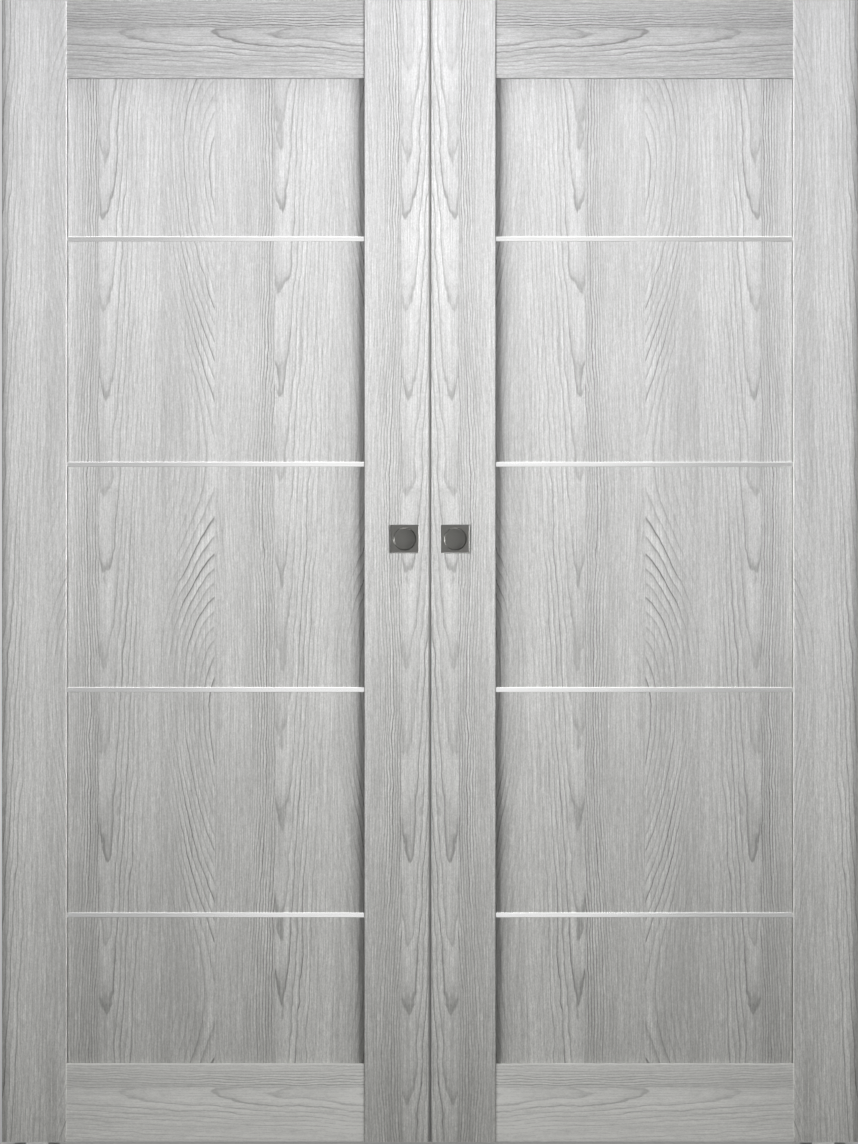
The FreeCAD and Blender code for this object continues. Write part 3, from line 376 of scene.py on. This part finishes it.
# Painted light over the meeting stile, and painted shade on its arris at the gap
MEETING_STILE_PAINTED_LIGHT = 1.03
MEETING_PAINTED_SHADE_WIDTH = 0.0010
MEETING_PAINTED_SHADE = 0.45


def upright_film(edge, start):
    """Film with its grain upright, laid from an edge at a distance from the middle, going inwards."""
    return (lambda x, y, z: x * -1.0 + y + (edge - LEAF_FRONT - start),
            lambda x, y, z: z * -1.0 + LEAF_TOP)


def level_film(top, start):
    """Film with its grain level, laid from a top edge downwards."""
    return (lambda x, y, z: z * -1.0 + y + (top - LEAF_FRONT - start),
            lambda x, y, z: x)


def inside(field, limit, tone):
    """A tone where the field is over the limit, and 1 elsewhere."""
    return field.apply("GREATER_THAN", limit) * (tone - 1.0) + 1.0


def outwardness(x):
    """0 at the meeting stile's side of the panel and 1 at the outer stile's."""
    return (x - OPENING_INNER) / (OPENING_OUTER - OPENING_INNER)


def outer_stile_painted_light(x, z):
    """Painted shade, dim at the leaf's outer edge and slightly over the whole stile, and painted light
    rising a little towards the floor.
    """
    edge = ramp((x * -1.0 + OUTER_EDGE) / PAINTED_EDGE_SHADE_WIDTH, PAINTED_EDGE_SHADE_TONES)
    return edge * (lowness(z) * OUTER_PAINTED_LIGHT_RISE + OUTER_STILE_PAINTED_SHADE)


def meeting_stile_painted_light(x, z):
    """A dark band of painted shade on the arris where the leaves meet, over painted light on the whole
    stile.
    """
    return inside(x * -1.0, -MEETING_EDGE - MEETING_PAINTED_SHADE_WIDTH, MEETING_PAINTED_SHADE) * MEETING_STILE_PAINTED_LIGHT


def panel_painted_light(x, z):
    """Painted shade under the top rail and beside both stiles, and painted light graded across the panel
    near the floor.
    """
    low = lowness(z)
    # Painted light near the floor, graded across the panel
    painted_light_near_floor = low * low * (outwardness(x) * -PANEL_PAINTED_LIGHT_FALL + PANEL_PAINTED_LIGHT_RISE) + 1.0
    # Painted shadow under the top rail
    painted_shadow_under_rail = ramp((z * -1.0 + TOP_RAIL_BOTTOM) / RAIL_PAINTED_SHADOW_HEIGHT, RAIL_PAINTED_SHADOW_TONES)
    # Painted shadow beside the meeting stile, deeper towards the floor
    band = x.apply("LESS_THAN", OPENING_INNER + SIDE_PAINTED_BAND_WIDTH)
    painted_shadow_beside_stile = ramp((x - OPENING_INNER) / SIDE_PAINTED_SHADOW_WIDTH, SIDE_PAINTED_SHADOW_TONES)
    painted_shadow_beside_stile = painted_shadow_beside_stile * (band * low * low * -SIDE_PAINTED_BAND_DEEPENING + 1.0)
    # Painted shade in the shadow line by the outer stile
    painted_shadow_line = inside(x, OPENING_OUTER - SHADOW_LINE_WIDTH, SHADOW_LINE_PAINTED_SHADE)
    return painted_light_near_floor * painted_shadow_under_rail * painted_shadow_beside_stile * painted_shadow_line


def top_rail_painted_light(x, z):
    """Painted shade: a darker copy of the film, darker still towards the outer stile."""
    return outwardness(x) * -(TOP_RAIL_PAINTED_SHADE * RAIL_PAINTED_FALLOFF) + TOP_RAIL_PAINTED_SHADE


def bottom_rail_painted_light(x, z):
    """Painted light: a brighter copy of the film, darker towards the outer stile, with painted highlights
    along the arrises under the panel and at the foot.
    """
    # Painted highlights on the arrises under the panel and at the foot
    arrises = inside(z, BOTTOM_RAIL_TOP - RAIL_ARRIS, RAIL_ARRIS_PAINTED_HIGHLIGHT)
    arrises = arrises * inside(z * -1.0, -LEAF_BOTTOM - RAIL_ARRIS, RAIL_ARRIS_PAINTED_HIGHLIGHT)
    return (outwardness(x) * -(BOTTOM_RAIL_PAINTED_LIGHT * RAIL_PAINTED_FALLOFF) + BOTTOM_RAIL_PAINTED_LIGHT) * arrises


def make_ash_surfaces():
    """One surface for each kind of leaf piece, by the end of the piece's name."""
    outer = upright_film(OUTER_EDGE, OUTER_FILM_START)
    meeting = upright_film(OPENING_INNER, MEETING_FILM_START)
    panel = upright_film(OPENING_OUTER, PANEL_FILM_START)
    top = level_film(TOP_RAIL_TOP, TOP_RAIL_FILM_START)
    bottom = level_film(BOTTOM_RAIL_TOP, BOTTOM_RAIL_FILM_START)
    kinds = {
        "stile_outer": (outer, outer_stile_painted_light, PLAIN_STRENGTH),
        "stile_meeting": (meeting, meeting_stile_painted_light, PLAIN_STRENGTH),
        "panel": (panel, panel_painted_light, PLAIN_STRENGTH),
        "rail_top": (top, top_rail_painted_light, TOP_RAIL_STRENGTH),
        "rail_bottom": (bottom, bottom_rail_painted_light, BOTTOM_RAIL_STRENGTH),
    }
    return {kind: ash_surface(f"ash_{kind}", *choices) for kind, choices in kinds.items()}


# Metals, plastics and the rest

TINT_MIDDLE = 0.5
# Painted highlight: a paler band along the edges of each pull's plate
PULL_HIGHLIGHT_WIDTH = 0.0009
EDGE_HIGHLIGHT_DARK = (0.19, 0.19, 0.185)
EDGE_HIGHLIGHT_LIGHT = (0.25, 0.25, 0.245)


def pull_edge_highlight(x, y, z):
    """1 on the edges of a pull's plate, where a highlight is painted, and 0 on its face."""
    low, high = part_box("right_pull_front")
    aside = (x.apply("ABSOLUTE") - (low.x + high.x) / 2).apply("ABSOLUTE")
    above = (z - (low.z + high.z) / 2).apply("ABSOLUTE")
    return aside.apply("MAXIMUM", above).apply("GREATER_THAN", (high.x - low.x) / 2 - PULL_HIGHLIGHT_WIDTH)


# Metals with drawn lines: across and along are lines to the metre
Drawn = namedtuple("Drawn", "dark light roughness across along relief")
DRAWN_METALS = {
    "strip_metal": Drawn(dark=(0.74, 0.74, 0.735), light=(0.86, 0.86, 0.86),
                         roughness=0.30, across=2500, along=6, relief=2e-5),
    "track_metal": Drawn(dark=(0.60, 0.60, 0.605), light=(0.74, 0.74, 0.74),
                         roughness=0.38, across=1800, along=4, relief=3e-5),
}
STREAK_DETAIL = 4.0
STREAK_ROUGHNESS = 0.65
STREAK_GLOSS = 0.25

# Surfaces with an even grain: grain is specks to the metre
Speckled = namedtuple("Speckled", "dark light roughness grain relief metallic edge_of",
                      defaults=(0.0, None))
SPECKLED = {
    "pull_metal": Speckled(dark=(0.105, 0.104, 0.097), light=(0.150, 0.149, 0.140),
                           roughness=0.36, grain=1400, relief=1.5e-5, metallic=0.8, edge_of=pull_edge_highlight),
    "zinc": Speckled(dark=(0.46, 0.47, 0.48), light=(0.66, 0.67, 0.68),
                     roughness=0.42, grain=900, relief=4e-5, metallic=1.0),
    "steel": Speckled(dark=(0.48, 0.48, 0.47), light=(0.70, 0.69, 0.66),
                      roughness=0.35, grain=1200, relief=3e-5, metallic=1.0),
    "nylon": Speckled(dark=(0.70, 0.69, 0.64), light=(0.82, 0.81, 0.77),
                      roughness=0.48, grain=1600, relief=2e-5),
    "rubber": Speckled(dark=(0.018, 0.018, 0.018), light=(0.040, 0.040, 0.041),
                       roughness=0.72, grain=1500, relief=5e-5),
    "guide_plastic": Speckled(dark=(0.44, 0.44, 0.43), light=(0.56, 0.56, 0.55),
                              roughness=0.5, grain=1700, relief=4e-5),
    # The pile seal is a real piece, but its grey also stands in for the shade in the gap between the
    # leaves
    "seal_pile": Speckled(dark=(0.275, 0.275, 0.27), light=(0.415, 0.415, 0.41),
                          roughness=0.9, grain=1800, relief=2e-4),
}
GRAIN_DETAIL = 4.0
GRAIN_ROUGHNESS = 0.6
GRAIN_SHARE = 0.7
GRAIN_GLOSS = 0.15
PATCH_SIZE = 20  # times the size of the grain
PATCH_SHARE = 0.3
PATCH_GLOSS = 0.2

DOWEL_DARK = (0.42, 0.27, 0.15)
DOWEL_LIGHT = (0.66, 0.48, 0.30)
DOWEL_ROUGHNESS = 0.65
FLECK_ALONG = 90.0
FLECK_ACROSS = 900.0
FLECK_DETAIL = 3.0
FLECK_RELIEF = 5e-5


def drawn_metal(name, finish):
    """Metal with fine lines along the track's direction."""
    material, tree, shader = new_surface(name, Metallic=1.0)
    x, y, z = place_on_door(tree)
    streak = noise(tree, x * finish.along, y * finish.across, z * finish.across,
                   STREAK_DETAIL, STREAK_ROUGHNESS)
    tree.links.new(tint(streak + TINT_MIDDLE, finish.dark, finish.light), shader.inputs["Base Color"])
    feed(shader.inputs["Roughness"], streak * STREAK_GLOSS + finish.roughness)
    add_bump(tree, shader, streak, finish.relief)
    return material


def speckled(name, finish):
    """An even grain all over, with broad faint patches, and a paler painted highlight where the highlight
    mask is 1.
    """
    material, tree, shader = new_surface(name, Metallic=finish.metallic)
    x, y, z = place_on_door(tree)
    fine, wide = finish.grain, finish.grain / PATCH_SIZE
    grain = noise(tree, x * fine, y * fine, z * fine, GRAIN_DETAIL, GRAIN_ROUGHNESS)
    broad = noise(tree, x * wide, y * wide, z * wide)
    shade = grain * GRAIN_SHARE + broad * PATCH_SHARE + TINT_MIDDLE
    colour = tint(shade, finish.dark, finish.light)
    if finish.edge_of:
        # Painted highlight on the edges of the pull plates
        colour = blend(finish.edge_of(x, y, z), colour, tint(shade, EDGE_HIGHLIGHT_DARK, EDGE_HIGHLIGHT_LIGHT))
    tree.links.new(colour, shader.inputs["Base Color"])
    feed(shader.inputs["Roughness"], broad * PATCH_GLOSS + grain * GRAIN_GLOSS + finish.roughness)
    add_bump(tree, shader, grain, finish.relief)
    return material


def beech(name):
    """Bare beech with its flecks along the dowel."""
    material, tree, shader = new_surface(name, Roughness=DOWEL_ROUGHNESS)
    x, y, z = place_on_door(tree)
    fleck = noise(tree, x * FLECK_ALONG, y * FLECK_ACROSS, z * FLECK_ACROSS, FLECK_DETAIL)
    tree.links.new(tint(fleck + TINT_MIDDLE, DOWEL_DARK, DOWEL_LIGHT), shader.inputs["Base Color"])
    add_bump(tree, shader, fleck, FLECK_RELIEF)
    return material


def make_slot_surfaces():
    """One surface for each of the record's slots that isn't ash."""
    surfaces = {slot: drawn_metal(slot, finish) for slot, finish in DRAWN_METALS.items()}
    for slot, finish in SPECKLED.items():
        surfaces[slot] = speckled(slot, finish)
    surfaces["dowel_wood"] = beech("dowel_wood")
    return surfaces


def dress():
    """Give every CAD node its surface."""
    ash = make_ash_surfaces()
    others = make_slot_surfaces()
    for name, piece in NODES.items():
        kind = next((ending for ending in ash if name.endswith(ending)), None)
        surface = ash[kind] if kind else others[SLOTS[name]]
        piece.data.materials.clear()
        piece.data.materials.append(surface)


# Stage

WHITE = (1.0, 1.0, 1.0, 1.0)
FLOOR_REACH = 40.0
FLOOR_DROP = 0.0005
FLOOR_CORNERS = 96
# Painted shade: the floor is darker near the doors than far from them
FLOOR_NEAR_PAINTED_SHADE = (0.60, 0.60, 0.595)
FLOOR_FAR = (0.92, 0.92, 0.915)
FLOOR_FADE = 8.0
FLOOR_FADE_STOPS = ((0.0, 0.05), (1.0, 0.95))
FLOOR_MOTTLE = 0.12
FLOOR_MOTTLE_SCALE = 3.0
FLOOR_MOTTLE_DETAIL = 3.0
FLOOR_ROUGHNESS = 0.7
FLOOR_SPECULAR = 0.2
FLOOR_GLOW = 0.22
FLOOR_LIGHT = 1.3
FLOOR_LIGHT_ANGLE = 70.0
WORLD_FILL = 0.20
WORLD_SEEN = 0.60
MIRROR_RAYS = ("Is Glossy Ray", "Is Transmission Ray")


def rays_of(tree, *kinds):
    """1 for rays of these kinds and 0 for the rest."""
    rays = tree.nodes.new("ShaderNodeLightPath")
    found = Field(tree, rays.outputs[kinds[0]])
    for kind in kinds[1:]:
        found = found.apply("MAXIMUM", Field(tree, rays.outputs[kind]))
    return found


def light_only(light, pieces):
    """Link a lamp to the pieces that it lights."""
    group = bpy.data.collections.new(f"{light.name}_receivers")
    for piece in pieces:
        group.objects.link(piece)
    light.light_linking.receiver_collection = group


def add_floor():
    """A round pale floor with painted shade near the doors, paler away from them, which glows a little
    where it is mirrored.
    """
    bpy.ops.mesh.primitive_circle_add(vertices=FLOOR_CORNERS, radius=FLOOR_REACH, fill_type="NGON",
                                      location=(0.0, 0.0, -FLOOR_DROP))
    floor = bpy.context.object
    floor.name = "floor"
    material, tree, shader = new_surface("floor_pale", Roughness=FLOOR_ROUGHNESS,
                                         Specular_IOR_Level=FLOOR_SPECULAR, Emission_Color=WHITE)
    x, y, z = place_on_door(tree)
    mottle = noise(tree, x * FLOOR_MOTTLE_SCALE, y * FLOOR_MOTTLE_SCALE, detail=FLOOR_MOTTLE_DETAIL)
    # Painted shade near the doors, fading out with distance
    away = ramp((x * x + y * y).apply("SQRT") / FLOOR_FADE, FLOOR_FADE_STOPS)
    colour = tint(away + mottle * FLOOR_MOTTLE, FLOOR_NEAR_PAINTED_SHADE, FLOOR_FAR)
    tree.links.new(colour, shader.inputs["Base Color"])
    feed(shader.inputs["Emission Strength"], rays_of(tree, *MIRROR_RAYS) * FLOOR_GLOW)
    floor.data.materials.append(material)
    light_floor(floor)


def light_floor(floor):
    """A broad lamp straight above that lights the floor alone, and doesn't bounce from it."""
    lamp = bpy.data.lights.new("floor_light", "SUN")
    lamp.energy = FLOOR_LIGHT
    lamp.angle = math.radians(FLOOR_LIGHT_ANGLE)
    lamp.cycles.max_bounces = 0
    lamp.cycles.use_multiple_importance_sampling = False
    light = bpy.data.objects.new("floor_light", lamp)
    bpy.context.scene.collection.objects.link(light)
    light_only(light, [floor])


def set_world():
    """An even pale surround: brighter where it is seen or mirrored than where it fills the shadows."""
    world = bpy.data.worlds.new("studio")
    bpy.context.scene.world = world
    world.use_nodes = True
    tree = world.node_tree
    background = tree.nodes["Background"]
    background.inputs["Color"].default_value = WHITE
    seen = rays_of(tree, "Is Camera Ray", *MIRROR_RAYS)
    feed(background.inputs["Strength"], seen * (WORLD_SEEN - WORLD_FILL) + WORLD_FILL)


# Lamps

# A rectangular lamp; lights holds the slots of the pieces that it lights, or nothing if it lights all
Softbox = namedtuple("Softbox", "place aim width height power spread lights", defaults=(180.0, ()))

# Each key stands at an angle from square on, with its share of the light
KEYS = ((49.0, 0.45), (60.0, 0.30), (70.0, 0.25))
KEY_DISTANCE = 6.6
KEY_HEIGHT = 1.9
KEY_SIZE = 1.2
KEY_SPREAD = 40.0
KEY_POWER = 19.0

REAR_DISTANCE = 4.5
REAR_SIZE = 1.5
REAR_POWER = 120.0

FRONT_BOX = Softbox(place=(0.0, -KEY_DISTANCE, KEY_HEIGHT), aim=(0.0, 0.0, KEY_HEIGHT),
                    width=1.5, height=1.2, power=5.6, spread=KEY_SPREAD)
LOW_BOX = Softbox(place=(0.0, -2.0, 0.06), aim=(0.0, 0.0, 0.06),
                  width=4.0, height=0.1, power=36.0, lights=("guide_plastic",))

# Cards show only in the gloss of what they light: they add no diffuse light
BEHIND_CAMERA = -CAMERA_DISTANCE - 0.3
CARDS = {
    "card_middle": Softbox(place=(0.0, BEHIND_CAMERA, 1.0), aim=(0.0, 0.0, 1.0),
                           width=1.0, height=3.0, power=15.0, lights=("pull_metal",)),
    "card_strips": Softbox(place=(0.0, -1.0, 1.05), aim=(0.0, 0.0, 1.05),
                           width=0.9, height=2.1, power=3.4, lights=("strip_metal",)),
    "card_back": Softbox(place=(0.0, 2.0, 1.1), aim=(0.0, 0.0, 1.1),
                         width=6.0, height=2.2, power=34.0, lights=("strip_metal",)),
    "card_above": Softbox(place=(0.0, -0.6, 5.0), aim=(0.0, 0.0, 1.0), width=4.0, height=2.0, power=200.0,
                          lights=("ash_frame", "ash_panel", "strip_metal")),
    "card_right": Softbox(place=(2.5, -1.5, PULL_FOOT), aim=(0.0, 0.0, PULL_FOOT),
                          width=0.8, height=0.8, power=18.0, lights=("pull_metal",)),
    "card_below": Softbox(place=(0.0, -0.9, 0.1), aim=(0.0, 0.0, PULL_FOOT),
                          width=0.8, height=0.4, power=18.0, lights=("pull_metal",)),
}


def pieces_of(slots):
    """The CAD nodes that have one of these slots."""
    return [piece for name, piece in NODES.items() if SLOTS[name] in slots]


def add_softbox(name, box, receivers=None):
    """A lamp unseen by the camera, which lights the receivers, or its box's slots, or else everything."""
    lamp = bpy.data.lights.new(name, "AREA")
    lamp.shape = "RECTANGLE"
    lamp.size = box.width
    lamp.size_y = box.height
    lamp.energy = box.power
    lamp.spread = math.radians(box.spread)
    light = bpy.data.objects.new(name, lamp)
    bpy.context.scene.collection.objects.link(light)
    light.location = box.place
    light.rotation_euler = (Vector(box.aim) - Vector(box.place)).to_track_quat("-Z", "Y").to_euler()
    light.visible_camera = False
    lit = receivers or pieces_of(box.lights)
    if lit:
        light_only(light, lit)
    return light


def lit_with(name):
    """The side whose keys light a piece: its own, except that one side's keys light all the pulls."""
    if SLOTS[name] == "pull_metal":
        return "left"
    return next((side for side in ("left", "right") if side in name.split("_")), None)


def add_keys(side, sign):
    """Lamps that rake one leaf from the other leaf's side, brightest a little below its top."""
    lit = [piece for name, piece in NODES.items() if lit_with(name) == side]
    aim = (sign * OPENING_INNER, LEAF_FRONT, KEY_HEIGHT)
    for angle, share in KEYS:
        turn = math.radians(angle)
        away = Vector((-sign * math.sin(turn), -math.cos(turn), 0.0)) * KEY_DISTANCE
        key = Softbox(place=Vector(aim) + away, aim=aim, width=KEY_SIZE, height=KEY_SIZE,
                      power=KEY_POWER * share / math.cos(turn), spread=KEY_SPREAD)
        add_softbox(f"key_{side}_{angle:.0f}", key, lit)


def add_rear(side, sign):
    """A lamp for the doors' backs, which isn't mirrored and doesn't bounce."""
    box = Softbox(place=(sign * REAR_DISTANCE, REAR_DISTANCE, KEY_HEIGHT), aim=(0.0, 0.0, KEY_HEIGHT),
                  width=REAR_SIZE, height=REAR_SIZE, power=REAR_POWER)
    rear = add_softbox(f"rear_{side}", box, NODES.values())
    rear.visible_glossy = False
    rear.data.cycles.max_bounces = 0


def add_lamps():
    """Keys and rear lamps, a front lamp that isn't mirrored, a low one for the guides, and cards."""
    for side, sign in (("left", -1), ("right", 1)):
        add_keys(side, sign)
        add_rear(side, sign)
    front = add_softbox("front", FRONT_BOX)
    front.visible_glossy = False
    low = add_softbox("low", LOW_BOX)
    low.data.cycles.max_bounces = 0
    for name, box in CARDS.items():
        card = add_softbox(name, box)
        card.visible_diffuse = False


def add_camera():
    """Level and square to the doors, with the leaves filling the photograph's frame."""
    scale = (LEAF_TOP - LEAF_BOTTOM) / LEAF_BOTTOM_ROW
    view_height = PHOTO_HEIGHT * scale
    camera = bpy.data.cameras.new("camera")
    camera.sensor_width = SENSOR
    camera.lens = SENSOR * CAMERA_DISTANCE / view_height
    camera.clip_end = CAMERA_REACH
    stand = bpy.data.objects.new("camera", camera)
    bpy.context.scene.collection.objects.link(stand)
    middle = PHOTO_MIDDLE_OFFSET * scale
    stand.location = (middle, LEAF_FRONT - CAMERA_DISTANCE, LEAF_TOP - view_height / 2)
    stand.rotation_euler = (math.pi / 2, 0.0, 0.0)
    bpy.context.scene.camera = stand


dress()
add_floor()
set_world()
add_lamps()
add_camera()
bpy.context.scene.view_settings.view_transform = "Standard"
